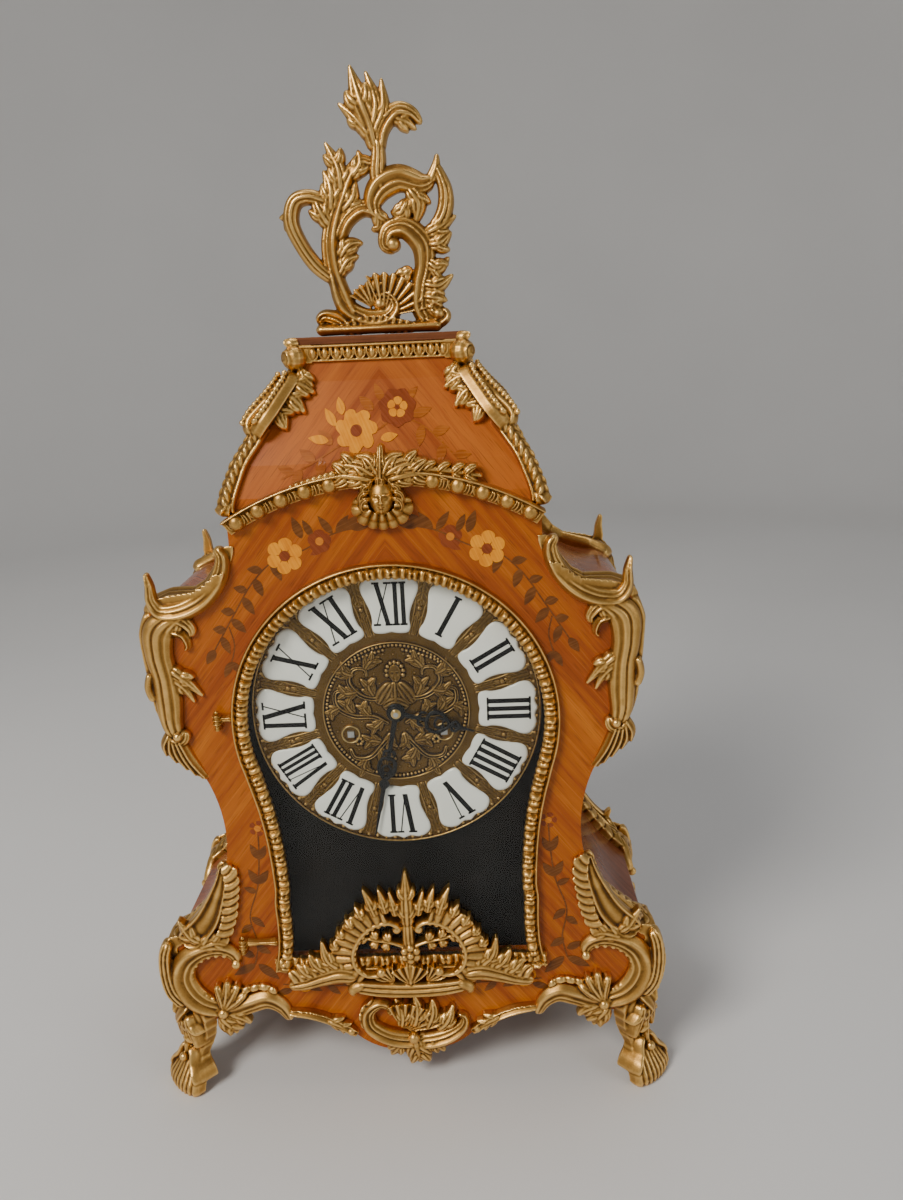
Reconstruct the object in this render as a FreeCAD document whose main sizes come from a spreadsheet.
import FreeCAD, Part
import math
import os

# A bracket clock in the Louis XV manner: a waisted veneered case on four cast feet, a bell-shaped
# hood with a pierced finial, gilt mounts on every corner, a hinged glazed door, a thirteen-piece
# dial and an eight-day two-train movement with a platform escapement.
# Frame: origin on the ground at the middle of the footprint, +X to the clock's right as seen
# from the front, -Y to the front, +Z up. Millimetres.

Vector = FreeCAD.Vector
doc = FreeCAD.newDocument("MantelClock")

SIZES = {
    "caseDepth": 130, "panelThick": 9, "caseFoot": 50, "archRadius": 175, "archCentre": 241,
    "mountThick": 7, "boardThick": 8,
    "dialCentre": 266, "dialRadius": 89.5, "dialSetback": 7, "dialThick": 1.6,
    "cartoucheMid": 68, "cartoucheThick": 2, "centreRadius": 46, "centreThick": 2.4,
    "doorCentre": 262, "doorRadius": 101, "doorBand": 11, "doorThick": 8, "doorGap": 0.3,
    "glassThick": 2.4, "rebateWide": 3, "rebateDeep": 3,
    "hingeAxis": -108.5, "hingeStand": 4.3, "pinRadius": 1.2, "pinPlay": 0.05, "knuckleRadius": 2.8,
    "knuckleTall": 7, "upperHinge": 265, "lowerHinge": 107,
    "backDoorHalf": 84, "backDoorFoot": 72, "backDoorTall": 276, "backDoorThick": 7,
    "backHingeAxis": -89, "windAcross": 29, "windDrop": 14, "plateHalf": 55, "plateThick": 2,
    "frontPlate": -42, "backPlate": -8, "hoodTop": 486, "capThick": 4, "wheelThick": 1.6,
}

sheet = doc.addObject("Spreadsheet::Sheet", "Sizes")
for row, (alias, value) in enumerate(SIZES.items(), start=1):
    sheet.set(f"A{row}", alias)
    sheet.set(f"B{row}", str(value))
    sheet.setAlias(f"B{row}", alias)
doc.recompute()

PIECES = {}


def size(alias):
    return float(sheet.get(alias))


# ---------------------------------------------------------------- helpers


def keep(piece, label):
    """Names a finished sub-part; its label is also its file name."""
    piece.Label = label
    PIECES[label] = piece
    return piece


def is_arc(step):
    return isinstance(step[0], tuple)


def curves_of(path):
    """Sketch curves of a path: a start point, then line ends (x, z) or arcs ((x, z), (x, z))."""
    here = Vector(*path[0], 0)
    curves = []
    for step in path[1:]:
        if is_arc(step):
            end = Vector(*step[1], 0)
            curves.append(Part.Arc(here, Vector(*step[0], 0), end))
        else:
            end = Vector(*step, 0)
            curves.append(Part.LineSegment(here, end))
        here = end
    return curves


def flipped(path):
    """The same path on the other side of the clock's middle."""
    return [tuple((-x, z) for x, z in step) if is_arc(step) else (-step[0], step[1]) for step in path]


def both_halves(path):
    return curves_of(path) + curves_of(flipped(path))


def stand_up(shape, back):
    """Turns a shape drawn in (x, z) and raised along +Z into one that is raised towards -Y from back."""
    shape.rotate(Vector(), Vector(1, 0, 0), 90)
    shape.translate(Vector(0, back, 0))
    return shape


def plate_shape(curves, thick, back):
    wire = Part.Wire(Part.__sortEdges__([c.toShape() for c in curves]))
    return stand_up(Part.Face(wire).extrude(Vector(0, 0, thick)), back)


def polygon(points, thick, back):
    """A plate with straight sides, drawn from the front."""
    wire = Part.makePolygon([Vector(x, z, 0) for x, z in points + points[:1]])
    return stand_up(Part.Face(wire).extrude(Vector(0, 0, thick)), back)


def ribbon(points, wides):
    """Outline of a strip that follows points, as wide at each as wides says."""
    left, right = [], []
    last = len(points) - 1
    for i, (x, z) in enumerate(points):
        ahead, behind = points[min(i + 1, last)], points[max(i - 1, 0)]
        along = Vector(ahead[0] - behind[0], ahead[1] - behind[1], 0).normalize()
        half = wides[i] / 2
        left.append((x - along.y * half, z + along.x * half))
        right.append((x + along.y * half, z - along.x * half))
    return left + right[::-1]


def joined(shapes):
    return shapes[0].multiFuse(shapes[1:]).removeSplitter() if len(shapes) > 1 else shapes[0]


def casting(label, shape):
    """A cast or carved piece whose shape no primitive fits."""
    piece = doc.addObject("Part::Feature", label)
    piece.Shape = shape
    return keep(piece, label)


def group_of(label, shapes):
    """Identical small pieces that share one node."""
    return casting(label, Part.makeCompound(shapes))


def sketch_in(body, name, curves, plane="XZ_Plane", lift=None):
    sketch = body.newObject("Sketcher::SketchObject", name)
    origin_plane = next(f for f in body.Origin.OriginFeatures if f.Role == plane)
    sketch.AttachmentSupport = [(origin_plane, "")]
    sketch.MapMode = "FlatFace"
    if lift:
        sketch.setExpression("AttachmentOffset.Base.z", lift)
    for curve in curves:
        sketch.addGeometry(curve, False)
    return sketch


def board(label, curves, thick, back):
    """A flat piece sawn from an outline drawn from the front. thick and back are expressions."""
    body = doc.addObject("PartDesign::Body", label)
    sketch = sketch_in(body, label + "_outline", curves)
    pad = body.newObject("PartDesign::Pad", label + "_pad")
    pad.Profile = sketch
    pad.setExpression("Length", thick)
    body.setExpression(".Placement.Base.y", back)
    return keep(body, label)


def bind(piece, **expressions):
    for name, expression in expressions.items():
        piece.setExpression(name, str(expression))
    return piece


def place(piece, x=0, y=0, z=0, axis=None):
    if axis:
        piece.Placement = FreeCAD.Placement(Vector(), FreeCAD.Rotation(Vector(0, 0, 1), axis))
    for name, expression in (("x", x), ("y", y), ("z", z)):
        piece.setExpression(".Placement.Base." + name, str(expression))
    return piece


def box(name, length, width, height, x, y, z):
    piece = doc.addObject("Part::Box", name)
    bind(piece, Length=length, Width=width, Height=height)
    return place(piece, x, y, z)


def rod(name, radius, height, x, y, z, axis=Vector(0, 0, 1)):
    piece = doc.addObject("Part::Cylinder", name)
    bind(piece, Radius=radius, Height=height)
    return place(piece, x, y, z, axis)


def fused(label, pieces):
    whole = doc.addObject("Part::MultiFuse", label)
    whole.Shapes = pieces
    whole.Refine = True
    return keep(whole, label)


BACK = Vector(0, 1, 0)
half_depth = size("caseDepth") / 2
thick = size("panelThick")
mount_thick = size("mountThick")

# ---------------------------------------------------------------- case outline

ARCH_CORNER = 91
foot_z = size("caseFoot")


def arch_height(x, radius):
    """Height of an arch of this radius over the dial, at a distance from the clock's middle."""
    return size("archCentre") + math.sqrt(radius ** 2 - x ** 2)


SIDE = [
    (ARCH_CORNER, 382), (ARCH_CORNER, 372), ((103, 350), (131, 341)), ((142, 337), (145, 322)),
    ((141, 276), (121, 228)), ((112.5, 192), (118, 155)), ((132, 128), (155, 108)),
    ((159, 90), (157, 72)), (156, foot_z),
]
APRON = [(128, foot_z), ((104, 57), (81, 56)), ((60, 52), (42, 38)), ((22, 24), (0, 22))]
CASE_ARCH = [(x, arch_height(x, size("archRadius"))) for x in (0, ARCH_CORNER / 2, ARCH_CORNER)]
HALF_CASE = [CASE_ARCH[0], tuple(CASE_ARCH[1:])] + SIDE + APRON


def door_half(inset):
    """Right half of the door's outline, inset by a distance: a circle that runs down into a flared skirt."""
    radius = size("doorRadius") - inset
    centre = size("doorCentre")
    turn = math.radians(17.5)
    leave = (radius * math.cos(turn), centre - radius * math.sin(turn))
    return [
        (0, centre + radius), ((radius * math.sqrt(0.5), centre + radius * math.sqrt(0.5)), leave),
        ((88 - inset, 190), (85 - inset, 152)), ((86 - inset, 125), (90 - inset, 88 + inset)),
        (0, 88 + inset),
    ]


def case_block(y_from, y_to):
    """The whole outline of the case as a solid between two depths."""
    return plate_shape(both_halves(HALF_CASE), y_to - y_from, y_to)


# ---------------------------------------------------------------- case


def make_case():
    board("front_panel", both_halves(HALF_CASE) + both_halves(door_half(size("doorBand") - 4)),
          "Sizes.panelThick", "Sizes.panelThick - Sizes.caseDepth / 2")
    back_opening = [(-75, 82), (75, 82), (75, 338), (-75, 338), (-75, 82)]
    board("back_panel", both_halves(HALF_CASE) + curves_of(back_opening),
          "Sizes.panelThick", "Sizes.caseDepth / 2")
    wall = Part.Wire([c.toShape() for c in curves_of(SIDE)]).makeOffset2D(thick, 0, True, True)
    wall_face = wall.common(Part.makePlane(200, 400, Vector(0, foot_z, 0)))
    side = stand_up(wall_face.extrude(Vector(0, 0, size("caseDepth") - 2 * thick)), half_depth - thick)
    casting("side_panel_right", side)
    casting("side_panel_left", side.mirror(Vector(), Vector(1, 0, 0)))
    box("base_board_blank", 292, "Sizes.caseDepth - 2 * Sizes.panelThick", "Sizes.boardThick",
        -146, "Sizes.panelThick - Sizes.caseDepth / 2", "Sizes.caseFoot + Sizes.boardThick")
    keep(doc.getObject("base_board_blank"), "base_board")
    box("neck_board_blank", 164, "Sizes.caseDepth - 2 * Sizes.panelThick", "Sizes.boardThick",
        -82, "Sizes.panelThick - Sizes.caseDepth / 2", 374)
    keep(doc.getObject("neck_board_blank"), "neck_board")


# Half-width and half-depth of the hood at each height, a bell with its waist at the top.
HOOD = [
    (382, 91, 65), (402, 89.5, 63.5), (420, 82, 58), (435, 72, 51), (450, 60, 44), (465, 50, 38),
    (476, 46, 35.5),
]


def hood_loft(inset, top):
    """Bell-shaped solid of the hood, inset for its inside, that ends at top."""
    rings = []
    for height, wide, deep in HOOD + [(top, HOOD[-1][1], HOOD[-1][2])]:
        a, b = wide - inset, deep - inset
        rings.append([Vector(x, y, height) for x, y in ((-a, -b), (a, -b), (a, b), (-a, b))])
    walls = [[low[i], low[(i + 1) % 4], high[(i + 1) % 4], high[i]]
             for low, high in zip(rings, rings[1:]) for i in range(4)]
    faces = [Part.Face(Part.makePolygon(corners + corners[:1])) for corners in walls + [rings[0], rings[-1]]]
    solid = Part.Solid(Part.Shell(faces))
    if solid.Volume < 0:
        solid.reverse()
    return solid


def arch_band(low, high, proud):
    """A curved strip on the case's front between two radii, standing proud of it."""
    right = [(ARCH_CORNER, arch_height(ARCH_CORNER, radius)) for radius in (low, high)]
    left = [(-x, z) for x, z in right]
    middle = [(0, arch_height(0, radius)) for radius in (low, high)]
    path = [left[0], (middle[0], right[0]), right[1], (middle[1], left[1]), left[0]]
    return plate_shape(curves_of(path), proud, -half_depth)


def make_hood():
    slabs = [case_block(-half_depth, thick - half_depth), case_block(half_depth - thick, half_depth)]
    top = size("hoodTop")
    shell = hood_loft(0, top).cut(hood_loft(7, top + 1)).cut(joined(slabs))
    casting("hood_shell", shell)
    box("cap_blank", 94, 73, "Sizes.capThick", -47, -36.5, "Sizes.hoodTop")
    keep(doc.getObject("cap_blank"), "hood_top_board")
    band_foot = 475
    outer = Part.makeBox(98, 77, top - band_foot, Vector(-49, -38.5, band_foot))
    casting("hood_moulding", outer.cut(hood_loft(0, top + 1)))
    radius = size("archRadius")
    casting("arch_moulding", joined([
        arch_band(radius - 9, radius + 1, mount_thick - 1),
        arch_band(radius - 2, radius + 1, mount_thick + 2),
    ]))


# ---------------------------------------------------------------- gilt mounts


def four_corners(label, shape):
    """The same casting on all four corners of the case: mirrored across, and front to back."""
    for depth, front in (("front", shape), ("back", shape.mirror(Vector(), Vector(0, 1, 0)))):
        casting(f"{label}_{depth}_right", front)
        casting(f"{label}_{depth}_left", front.mirror(Vector(), Vector(1, 0, 0)))


def wrapped(outlines, edge, reach):
    """A mount's two faces: outlines on the front, and their mirror image on the side.
    edge is the x of the case's corner that both are measured from, reach how far back the side goes."""
    front = joined([polygon(points, mount_thick, -half_depth) for points in outlines])
    side_wire = Part.Wire([c.toShape() for c in curves_of(SIDE)])
    skin = side_wire.makeOffset2D(-mount_thick, 0, True, True)
    skin = stand_up(skin.extrude(Vector(0, 0, reach + mount_thick)), reach - half_depth)
    wings = []
    for points in outlines:
        turned = [Vector(60, -half_depth + edge - x, z) for x, z in points]
        wings.append(Part.Face(Part.makePolygon(turned + turned[:1])).extrude(Vector(120, 0, 0)))
    return front, joined(wings).common(skin)


def biggest(shape):
    return max(shape.Solids, key=lambda solid: solid.Volume)


def round_outline(x, z, across, up, sides):
    """Points on an ellipse about (x, z), clockwise from its top."""
    angles = [2 * math.pi * side / sides for side in range(sides)]
    return [(x + across * math.sin(a), z + up * math.cos(a)) for a in angles]


def make_feet():
    eye_x, eye_z = 136, 79
    ring = round_outline(eye_x, eye_z, 24, 24, 24)
    panel = [(150, 103), (131, 101), (122, 117), (115, 130), (112, 148), (117, 168), (124, 158),
             (130, 140), (142, 126), (152, 129)]
    bracket = [(126, 68), (108, 73), (97, 74), (88, 69), (84, 62), (82, 50), (95, 55), (109, 48), (128, 54)]
    heel = [(124, 62), (124, foot_z), (163, foot_z), (164, 62)]
    fringe = [(150, foot_z), (164, foot_z), (170, 64), (171, 84), (166, 104), (155, 112), (146, 100)]
    front, wing = wrapped([ring, panel, bracket, heel, fringe], 157, 62)
    corner = Part.makeBox(9, mount_thick + 3, 54, Vector(156.5, -half_depth - mount_thick, foot_z))
    eye = stand_up(Part.makeCylinder(13, 40, Vector(eye_x, eye_z, -20)), -half_depth)
    leg = [(-34, 57), (9, 57), (8, 47), (-5, 31), (4, 18), (13, 10), (13, 0), (-12, 0), (-15, 8), (-25, 26),
           (-34, 47)]
    toe = [(-13, 0), (12, 0), (12, 14), (2, 22), (-12, 14)]
    low = joined([polygon(leg, 20, 10), polygon(toe, 26, 13)])
    low.rotate(Vector(), Vector(0, 0, 1), -45)
    low.translate(Vector(155, -half_depth + 1, 0))
    whole = joined([front.cut(eye), wing, corner, low])
    whole = whole.cut(case_block(-half_depth, half_depth))
    four_corners("foot_mount", biggest(whole))


def make_shoulders():
    rail = ribbon([(99, 374), (95, 364), (102, 351), (112, 342), (124, 336), (138, 338)], [11, 8, 8, 8, 9, 13])
    horn = [(134, 334), (150, 332), (147, 346), (142, 361), (138, 346)]
    body = [(121, 336), (118, 327), (123, 315), (128, 306), (125, 297), (116, 283), (124, 276), (127, 262),
            (128, 252), (122, 240), (120, 227), (131, 236), (141, 255), (146, 275), (152, 300), (152, 330),
            (140, 337)]
    front, wing = wrapped([rail, horn, body], 147, 40)
    corner = Part.makeBox(9, mount_thick + 3, 62, Vector(143, -half_depth - mount_thick, 276))
    whole = joined([front, wing, corner]).cut(case_block(-half_depth, half_depth))
    four_corners("shoulder_mount", biggest(whole))


def make_hood_corners():
    """Acanthus and ball on each sloping corner of the hood, drawn in the upright plane of that corner."""
    _, foot_wide, foot_deep = HOOD[0]
    _, top_wide, top_deep = HOOD[-1]
    run = [(math.hypot(wide - top_wide, deep - top_deep), height) for height, wide, deep in HOOD]
    outer = [(s + 9, z + 1) for s, z in run]
    outline = outer + [(8, 486), (4, 491), (-3, 484), (-3, 470)] + [(s - 6, z) for s, z in run[::-1]]
    slab = polygon(outline, 13, 6.5)
    slab = slab.fuse(Part.makeSphere(8, Vector(3, 0, 479)))
    heading = math.degrees(math.atan2(foot_deep - top_deep, foot_wide - top_wide))
    slab.rotate(Vector(), Vector(0, 0, 1), -heading)
    slab.translate(Vector(top_wide, -top_deep, 0))
    arch = doc.getObject("arch_moulding").Shape
    blocked = joined([
        hood_loft(0, 487), arch, arch.mirror(Vector(), Vector(0, 1, 0)), case_block(-half_depth, half_depth),
        Part.makeBox(98, 77, 15.5, Vector(-49, -38.5, 475)),
        Part.makeBox(300, 300, 20, Vector(-150, -150, 371)),
    ])
    four_corners("hood_corner_mount", biggest(slab.cut(blocked)))


def make_front_mounts():
    arch = doc.getObject("arch_moulding").Shape
    face = round_outline(0, 399, 16, 14, 12)
    spray = [(-14, 408), (-34, 411), (-52, 419), (-36, 423), (-18, 428), (0, 431), (18, 428), (38, 422),
             (58, 413), (36, 411), (14, 408)]
    mask = joined([polygon(face, 13, -half_depth), polygon(spray, 12, -half_depth)])
    casting("arch_mask", biggest(mask.cut(arch)))
    rail = ribbon([(84, 56), (70, 54), (58, 50), (46, 43), (37, 37)], [7, 7, 7, 7, 7])
    right = polygon(rail, mount_thick - 1, -half_depth)
    shell = [(-37, 39), (-38, 55), (-30, 66), (-12, 62), (0, 69), (12, 61), (24, 66), (35, 56), (35, 40),
             (24, 27), (12, 24), (4, 13), (-8, 22), (-24, 27)]
    ornament = polygon(shell, mount_thick + 4, -half_depth)
    rails = [right, right.mirror(Vector(), Vector(1, 0, 0))]
    feet = [doc.getObject(f"foot_mount_front_{hand}").Shape for hand in ("right", "left")]
    group_of("apron_rails", [biggest(piece.cut(ornament).cut(foot)) for piece, foot in zip(rails, feet)])
    casting("apron_ornament", ornament)


def make_finial():
    base = size("hoodTop") + size("capThick")
    strokes = [
        ([(-40, 495), (0, 495), (38, 495)], [10, 10, 10]),
        ([(-18, 497), (-25, 520), (-28, 540), (-23, 560), (-16, 580)], [10, 9, 9, 10, 10]),
        ([(-27, 522), (-42, 537), (-50, 557), (-46, 567), (-26, 566)], [6, 7, 8, 7, 6]),
        ([(-14, 578), (-2, 572), (0, 585), (2, 600)], [8, 9, 10, 9]),
        ([(-4, 568), (14, 554), (20, 556)], [9, 10, 10]),
        ([(2, 572), (10, 578), (24, 577), (35, 580), (40, 570), (37, 552), (30, 534)], [8, 8, 8, 8, 7, 8, 9]),
        ([(8, 541), (20, 544), (29, 530), (26, 508), (31, 495)], [12, 10, 10, 10, 10]),
        ([(1, 598), (-4, 618), (-6, 640)], [10, 18, 5]),
        ([(4, 596), (16, 612), (27, 609)], [9, 9, 5]),
        ([(-14, 497), (0, 505), (12, 510)], [16, 26, 14]),
        ([(38, 530), (45, 550)], [9, 5]),
    ]
    depth = 13
    shapes = [polygon(ribbon(points, wides), depth, depth / 2) for points, wides in strokes]
    foot = Part.makeBox(78, 22, 7, Vector(-40, -11, base))
    below = Part.makeBox(200, 200, 20, Vector(-100, -100, base - 20))
    casting("finial", biggest(joined(shapes + [foot]).cut(below)))


# ---------------------------------------------------------------- front door


def make_front_door():
    face = -half_depth - size("doorGap")
    deep = size("doorThick")
    band = size("doorBand")
    outside, opening = (plate_shape(both_halves(door_half(inset)), deep, face) for inset in (0, band))
    rebate = plate_shape(both_halves(door_half(band - size("rebateWide"))), size("rebateDeep"), face)
    bezel = outside.cut(opening).cut(rebate)
    casting("door_bezel", bezel)
    glass_back = "0 - Sizes.caseDepth / 2 - Sizes.doorGap - Sizes.rebateDeep + Sizes.glassThick"
    pane = door_half(band - size("rebateWide") + 0.1)
    board("door_glass", both_halves(pane), "Sizes.glassThick", glass_back)
    glass_front = face - size("rebateDeep")
    arch = [(-60, 70), (-34, 72), (34, 72), (60, 70), (84, 90), (60, 97), (54, 112), (42, 128), (28, 148),
            (10, 147), (0, 163), (-10, 147), (-28, 148), (-42, 128), (-54, 112), (-60, 97), (-84, 90)]
    window = [(5, 91), (34, 91), (33, 112), (22, 128), (5, 128)]
    gallery = polygon(arch, 9, glass_front)
    for hole in (window, [(-x, z) for x, z in window]):
        gallery = gallery.cut(polygon(hole, 9, glass_front))
    casting("gallery_ornament", gallery.cut(bezel))


def make_front_hinges():
    """Two arms soldered to the door, each turning on a pin that stands on a lug of the case."""
    x, y = size("hingeAxis"), -half_depth - size("hingeStand")
    bezel = doc.getObject("door_bezel").Shape
    arms, pins = [], []
    radius, tall, pin_radius = size("knuckleRadius"), size("knuckleTall"), size("pinRadius")
    for height, reach in ((size("upperHinge"), 10), (size("lowerHinge"), 24)):
        knuckle = Part.makeCylinder(radius, tall, Vector(x, y, height))
        arm = Part.makeBox(reach, 3, tall, Vector(x, y - 1.5, height))
        bore = Part.makeCylinder(pin_radius + size("pinPlay"), tall + 2, Vector(x, y, height - 1))
        arms.append(biggest(knuckle.fuse(arm).cut(bore).cut(bezel)))
        foot = height - 3.3
        lug = Part.makeBox(2 * radius, -half_depth - y + radius, 3, Vector(x - radius, y - radius, foot))
        pins.append(lug.fuse(Part.makeCylinder(pin_radius, tall + 6, Vector(x, y, foot))))
    group_of("door_hinge_arms", arms)
    group_of("door_hinge_pins", pins)


# ---------------------------------------------------------------- rear door


def make_rear_door():
    face = half_depth + size("doorGap")
    half, low, tall = size("backDoorHalf"), size("backDoorFoot"), size("backDoorTall")
    box("rear_door_blank", "2 * Sizes.backDoorHalf", "Sizes.backDoorThick", "Sizes.backDoorTall",
        "0 - Sizes.backDoorHalf", "Sizes.caseDepth / 2 + Sizes.doorGap", "Sizes.backDoorFoot")
    keep(doc.getObject("rear_door_blank"), "rear_door")
    knob_z = low + tall / 2
    stem = rod("knob_stem", 3, 3, 72, face + size("backDoorThick"), knob_z, BACK)
    head = rod("knob_head", 7, 4, 72, face + size("backDoorThick") + 3, knob_z, BACK)
    fused("rear_door_knob", [stem, head])
    x, y = size("backHingeAxis"), face + 4
    arms, pins = [], []
    radius, pin_radius = size("knuckleRadius"), size("pinRadius")
    for height in (low + 40, low + tall - 50):
        knuckle = Part.makeCylinder(radius, 12, Vector(x, y, height))
        arm = Part.makeBox(-half - x, 3, 12, Vector(x, y - 1.5, height))
        bore = Part.makeCylinder(pin_radius + size("pinPlay"), 14, Vector(x, y, height - 1))
        arms.append(knuckle.fuse(arm).cut(bore))
        foot = height - 4.3
        lug = Part.makeBox(2 * radius, y + radius - half_depth, 4, Vector(x - radius, half_depth, foot))
        pins.append(lug.fuse(Part.makeCylinder(pin_radius, 18, Vector(x, y, foot))))
    group_of("rear_hinge_knuckles", arms)
    group_of("rear_hinge_pins", pins)


# ---------------------------------------------------------------- dial and hands

MINUTE_ANGLE = 192
HOUR_ANGLE = 106


def on_dial(shape, clockwise=0):
    """Places a shape drawn round (0, 0) onto the dial's middle, turned clockwise as the hands turn."""
    shape.rotate(Vector(), Vector(0, 1, 0), clockwise)
    shape.translate(Vector(0, 0, size("dialCentre")))
    return shape


def dial_rod(radius, y_from, y_to, x=0, z=0):
    """A turned piece on an axis that runs front to back, x and z from the dial's middle."""
    return Part.makeCylinder(radius, y_to - y_from, Vector(x, y_from, z + size("dialCentre")), BACK)


def make_dial():
    front = -half_depth + size("dialSetback")
    back = front + size("dialThick")
    across, drop = size("windAcross"), size("windDrop")
    lining = [(-88, 90), (88, 90), (90, 170), (98, 230), (98, 300), (64, 360), (-64, 360), (-98, 300),
              (-98, 230), (-90, 170)]
    bored_at = ((-across, -drop), (across, -drop), (0, 0))
    holes = joined([dial_rod(5, front - 9, back + 9, x, z) for x, z in bored_at])
    casting("dial_backing_board", polygon(lining, 5, back + 5 + 1.4).cut(holes))
    casting("dial_plate", dial_rod(size("dialRadius"), front, back).cut(holes))
    casting("dial_centre", dial_rod(size("centreRadius"), front - size("centreThick"), front).cut(holes))
    inner, outer = 50, 86
    half_in, half_out = 11.5, 17.5
    path = [
        (-half_in, inner + 2), ((0, inner - 1), (half_in, inner + 2)), ((half_in + 2, 62), (half_out, 76)),
        ((half_out - 1, 83), (half_out - 6, outer - 1)), ((0, outer + 1.5), (6 - half_out, outer - 1)),
        ((1 - half_out, 83), (-half_out, 76)), ((-half_in - 2, 62), (-half_in, inner + 2)),
    ]
    plaque = plate_shape(curves_of(path), size("cartoucheThick"), front)
    hours = [on_dial(plaque.copy(), 30 * hour) for hour in range(12)]
    group_of("numeral_cartouches", hours)
    strip = [(-1.5, 49), (1.5, 49), (2.2, 66), (1.6, 76), (5, 84), (4, 89), (-4, 89), (-5, 84), (-1.6, 76),
             (-2.2, 66)]
    strips = [on_dial(polygon(strip, 1.2, front), 30 * hour + 15) for hour in range(12)]
    group_of("dial_dividers", [biggest(piece.cut(joined(hours))) for piece in strips])


def hand_shape(half, deep, back, boss, bore):
    """A hand that points to 12, given its right half up to the tip, with a round boss bored for its arbor."""
    outline = half + [(-x, z) for x, z in half[-2::-1]]
    disc = Part.makeCylinder(boss, deep, Vector(0, back - deep, 0), BACK)
    hole = Part.makeCylinder(bore, 9, Vector(0, back - 4, 0), BACK)
    return joined([polygon(outline, deep, back), disc]).cut(hole)


def make_hands():
    front = -half_depth + size("dialSetback") - size("centreThick")
    hour_y, minute_y = front - 0.6, front - 1.9
    hour = [(1.5, 0), (2, 14), (6, 22), (4, 34), (1.5, 40), (0, 50)]
    minute = [(1.3, 0), (1.6, 18), (4.5, 30), (2.5, 44), (1.2, 60), (0, 85)]
    casting("hour_hand", on_dial(hand_shape(hour, 0.8, hour_y, 6, 3), HOUR_ANGLE))
    casting("minute_hand", on_dial(hand_shape(minute, 0.7, minute_y, 4.5, 1.5), MINUTE_ANGLE))
    nut = dial_rod(3.2, minute_y - 2.2, minute_y - 0.7).cut(dial_rod(1.5, minute_y - 5, minute_y + 1))
    casting("hand_nut", nut)


# ---------------------------------------------------------------- movement


def gear(teeth, module, deep, y_from, x, z, turned=0.0):
    """A spur wheel on a front-to-back axis. Its teeth are slim trapezia, so that a pair runs free."""
    pitch = teeth * module / 2
    tip, root = pitch + 0.8 * module, pitch - 1.1 * module
    step = 2 * math.pi / teeth
    points = []
    for tooth in range(teeth):
        middle = tooth * step + turned
        for radius, share in ((root, -0.27), (pitch, -0.2), (tip, -0.1), (tip, 0.1), (pitch, 0.2), (root, 0.27)):
            angle = middle + share * step
            points.append((radius * math.sin(angle), radius * math.cos(angle)))
    wheel = polygon(points, deep, y_from + deep)
    wheel.translate(Vector(x, 0, z + size("dialCentre")))
    return wheel


def mesh_turn(teeth, direction):
    """Turn that puts a gap of a wheel with this many teeth towards a direction, in radians from 12 o'clock."""
    return direction + math.pi / teeth


CENTRE_LEAVES, BARREL_TEETH = 12, 72
CANNON_LEAVES, MINUTE_TEETH, MINUTE_LEAVES, HOUR_TEETH = 12, 36, 10, 40


STUD_ANGLE = math.radians(140)


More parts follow.
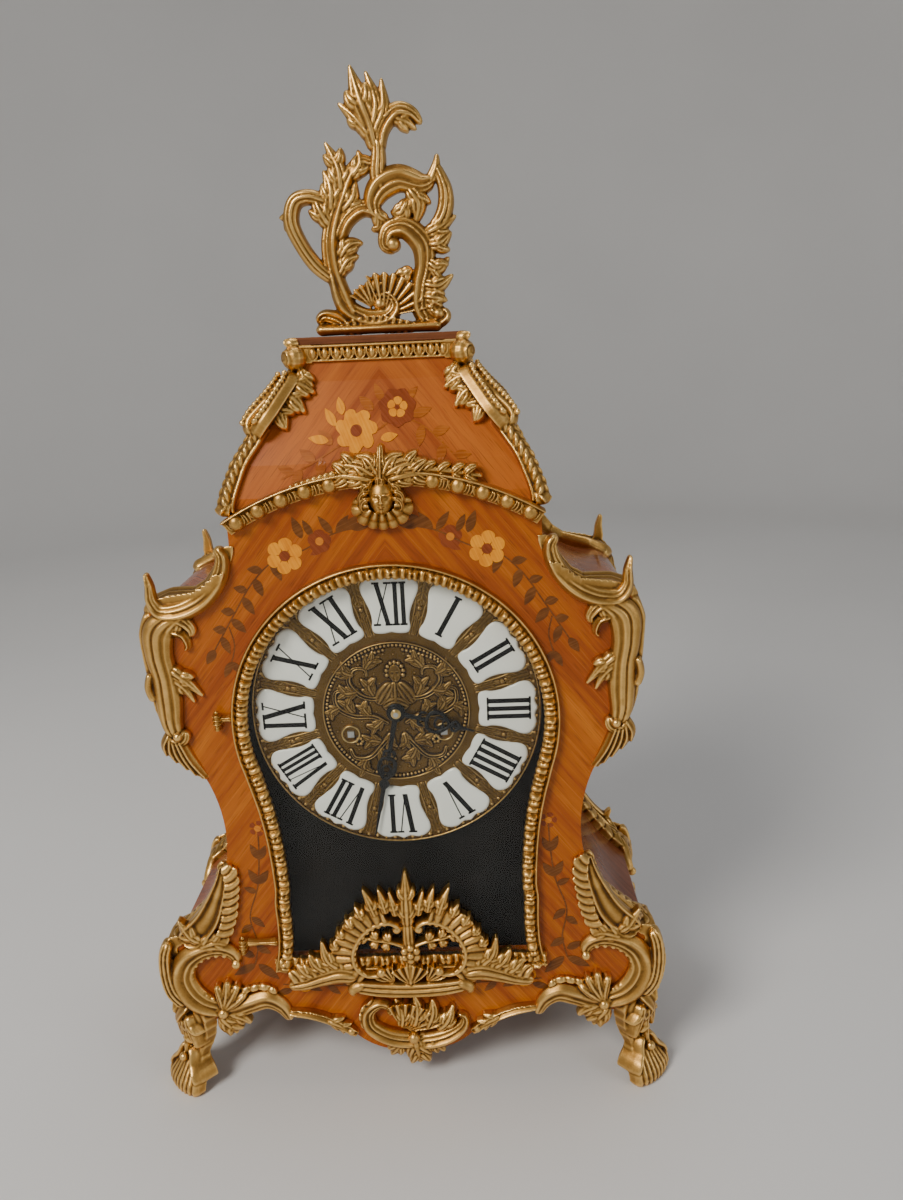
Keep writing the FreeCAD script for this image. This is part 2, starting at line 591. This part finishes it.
def make_movement():
    across, drop, centre = size("windAcross"), size("windDrop"), size("dialCentre")
    plate, half = size("plateThick"), size("plateHalf")
    front, back = size("frontPlate"), size("backPlate")
    winders = (("time", -across), ("strike", across))
    reach = math.hypot(across, drop)
    play = size("pinPlay")
    hands_front = -half_depth + size("dialSetback") - size("centreThick")

    def plate_at(y, holes):
        blank = Part.makeBox(2 * half, plate, 2 * half, Vector(-half, y, centre - half))
        return blank.cut(joined(holes))

    pin_wheel_z = -drop + reach
    arbor_play = [dial_rod(3 + play, -60, 0, x, -drop) for _, x in winders]
    shaft_holes = arbor_play + [dial_rod(1.5 + play, -60, 0), dial_rod(1.5 + play, -60, 0, across, pin_wheel_z)]
    studs = [(sx * (half - 6), sz * (half - 6)) for sx in (-1, 1) for sz in (-1, 1)]
    minute_step = (CANNON_LEAVES + MINUTE_TEETH) * 0.5 / 2
    minute_module = 2 * minute_step / (MINUTE_LEAVES + HOUR_TEETH)
    stud_at = (minute_step * math.sin(STUD_ANGLE), minute_step * math.cos(STUD_ANGLE))
    stud = dial_rod(1.2, front - 7.5, front, *stud_at)
    dial_back = -half_depth + size("dialSetback") + size("dialThick") + 6.4
    feet = [dial_rod(2.5, dial_back, front + 1, x, z) for x, z in studs]
    hammer_at = (48, 0)
    hammer_stud = dial_rod(1.5, back + plate - 1, back + plate + 10, *hammer_at)
    casting("movement_front_plate", joined([plate_at(front, shaft_holes), stud] + feet))
    casting("movement_back_plate", plate_at(back, shaft_holes).fuse(hammer_stud))
    group_of("movement_pillars", [dial_rod(3.5, front + plate, back, x, z) for x, z in studs])

    barrel_module = 2 * reach / (BARREL_TEETH + CENTRE_LEAVES)
    for index, (name, x) in enumerate(winders):
        wheel_y = front + plate + 1.5 + 3.5 * index
        arbor = dial_rod(3, front - 12, back + plate + 1, x, -drop)
        square = Part.makeBox(4, 6.5, 4, Vector(x - 2, front - 18, centre - drop - 2))
        casting(f"{name}_winding_arbor", arbor.fuse(square))
        toward = math.atan2(-x, drop) if name == "time" else 0.0
        great = gear(BARREL_TEETH, barrel_module, size("wheelThick"), wheel_y, x, -drop, toward)
        drum = dial_rod(22, wheel_y + size("wheelThick"), back - 5.5, x, -drop)
        casting(f"{name}_barrel", great.fuse(drum).cut(dial_rod(3 + play, front, back, x, -drop)))

    wheel_y = front + plate + 1.0
    shaft = dial_rod(1.5, hands_front - 4.6, back + plate + 1)
    from_time = math.atan2(-across, -drop)
    pinion = gear(CENTRE_LEAVES, barrel_module, 2.8, wheel_y, 0, 0, mesh_turn(CENTRE_LEAVES, from_time))
    centre_wheel = gear(60, 0.5, size("wheelThick"), back - 4.5, 0, 0)
    cannon = gear(CANNON_LEAVES, 0.5, 2.4, front - 3.2, 0, 0, STUD_ANGLE)
    casting("centre_arbor", joined([shaft, pinion, centre_wheel, cannon]))

    minute_wheel = gear(MINUTE_TEETH, 0.5, 1.6, front - 2.8, *stud_at, mesh_turn(MINUTE_TEETH, STUD_ANGLE + math.pi))
    leaves = gear(MINUTE_LEAVES, minute_module, 4.0, front - 6.8, *stud_at, STUD_ANGLE + math.pi)
    casting("minute_wheel", joined([minute_wheel, leaves]).cut(dial_rod(1.2 + play, front - 9, front, *stud_at)))
    hour_gear = gear(HOUR_TEETH, minute_module, 1.6, front - 6.4, 0, 0, mesh_turn(HOUR_TEETH, STUD_ANGLE))
    pipe = dial_rod(2.95, hands_front - 1.4, front - 4.8)
    casting("hour_wheel", hour_gear.fuse(pipe).cut(dial_rod(1.5 + play, hands_front - 3, front)))

    strike_y = front + plate + 1.5 + 3.5
    strike_shaft = dial_rod(1.5, front - 1, back + plate + 1, across, pin_wheel_z)
    strike_leaves = gear(CENTRE_LEAVES, barrel_module, 2.6, strike_y - 0.5, across, pin_wheel_z,
                         mesh_turn(CENTRE_LEAVES, math.pi))
    pin_disc = dial_rod(12, back - 5, back - 3.4, across, pin_wheel_z)
    lifting = [dial_rod(0.8, back - 3.4, back - 1.4, x, z)
               for x, z in round_outline(across, pin_wheel_z, 9.5, 9.5, 8)]
    casting("strike_pin_wheel", joined([strike_shaft, strike_leaves, pin_disc] + lifting))

    top = centre + half
    balance_x, balance_y = -17, front + 19
    deck = Part.makeBox(34, 30, 2, Vector(-34, front + 4, top))
    cock = Part.makeBox(6, 20, 1.5, Vector(balance_x - 3, balance_y - 5, top + 7.2))
    post = Part.makeBox(6, 4, 7, Vector(balance_x - 3, front + 30, top + 1))
    casting("escapement_platform", joined([deck, cock, post]))
    rim = Part.makeCylinder(8, 1.2, Vector(balance_x, balance_y, top + 4))
    rim = rim.cut(Part.makeCylinder(6.6, 2, Vector(balance_x, balance_y, top + 3.5)))
    spoke = Part.makeBox(14, 1.2, 1.0, Vector(balance_x - 7, balance_y - 0.6, top + 4.1))
    staff = Part.makeCylinder(0.8, 5, Vector(balance_x, balance_y, top + 2.1))
    casting("balance_wheel", joined([rim, staff, spoke]))

    bell_y = back + plate
    bell_centre = Vector(0, bell_y + 4, centre + 30)
    cup = Part.makeSphere(26, bell_centre).common(Part.makeBox(60, 30, 60, Vector(-30, bell_y + 12, centre)))
    casting("bell", cup.cut(Part.makeSphere(24, bell_centre)).cut(dial_rod(2.05, bell_y, bell_y + 32, 0, 30)))
    post_nut = dial_rod(4, bell_y + 30.2, bell_y + 33, 0, 30)
    casting("bell_post", dial_rod(2, bell_y, bell_y + 33, 0, 30).fuse(post_nut))
    boss = dial_rod(3, bell_y + 0.4, bell_y + 8, *hammer_at)
    boss = boss.cut(dial_rod(1.5 + play, bell_y - 1, bell_y + 12, *hammer_at))
    arm = polygon([(46.4, 2.6), (49.6, 2.6), (36, 28), (33.6, 26)], 2, bell_y + 16)
    arm_root = polygon([(46.4, 2.4), (49.6, 2.4), (49.4, 6), (46, 6)], 12, bell_y + 16)
    for shape in (arm, arm_root):
        shape.translate(Vector(0, 0, centre))
    head = dial_rod(4, bell_y + 12, bell_y + 19, 32.4, 29)
    casting("strike_hammer", joined([boss, arm_root, arm, head]))


# ---------------------------------------------------------------- build, test and write

for make in (make_case, make_hood, make_feet, make_shoulders, make_hood_corners, make_front_mounts, make_finial,
             make_front_door, make_front_hinges, make_rear_door, make_dial, make_hands, make_movement):
    make()

doc.recompute()
for item in doc.Objects:
    if "Invalid" in item.State or "Error" in item.State:
        raise RuntimeError(f"{item.Label} failed to build")
for label, piece in PIECES.items():
    shape = piece.Shape
    if shape.isNull() or not shape.isValid() or not shape.Solids:
        raise RuntimeError(f"{label} has no sound solid")

os.makedirs("parts", exist_ok=True)
whole = FreeCAD.BoundBox()
for label, piece in PIECES.items():
    piece.Shape.exportStep(f"parts/{label}.step")
    whole.add(piece.Shape.BoundBox)
    print(f"{label}: {len(piece.Shape.Solids)} solid(s), {piece.Shape.Volume / 1000:.2f} cm3")
print(f"{len(PIECES)} pieces, {whole.XLength:.1f} x {whole.YLength:.1f} x {whole.ZLength:.1f} mm")
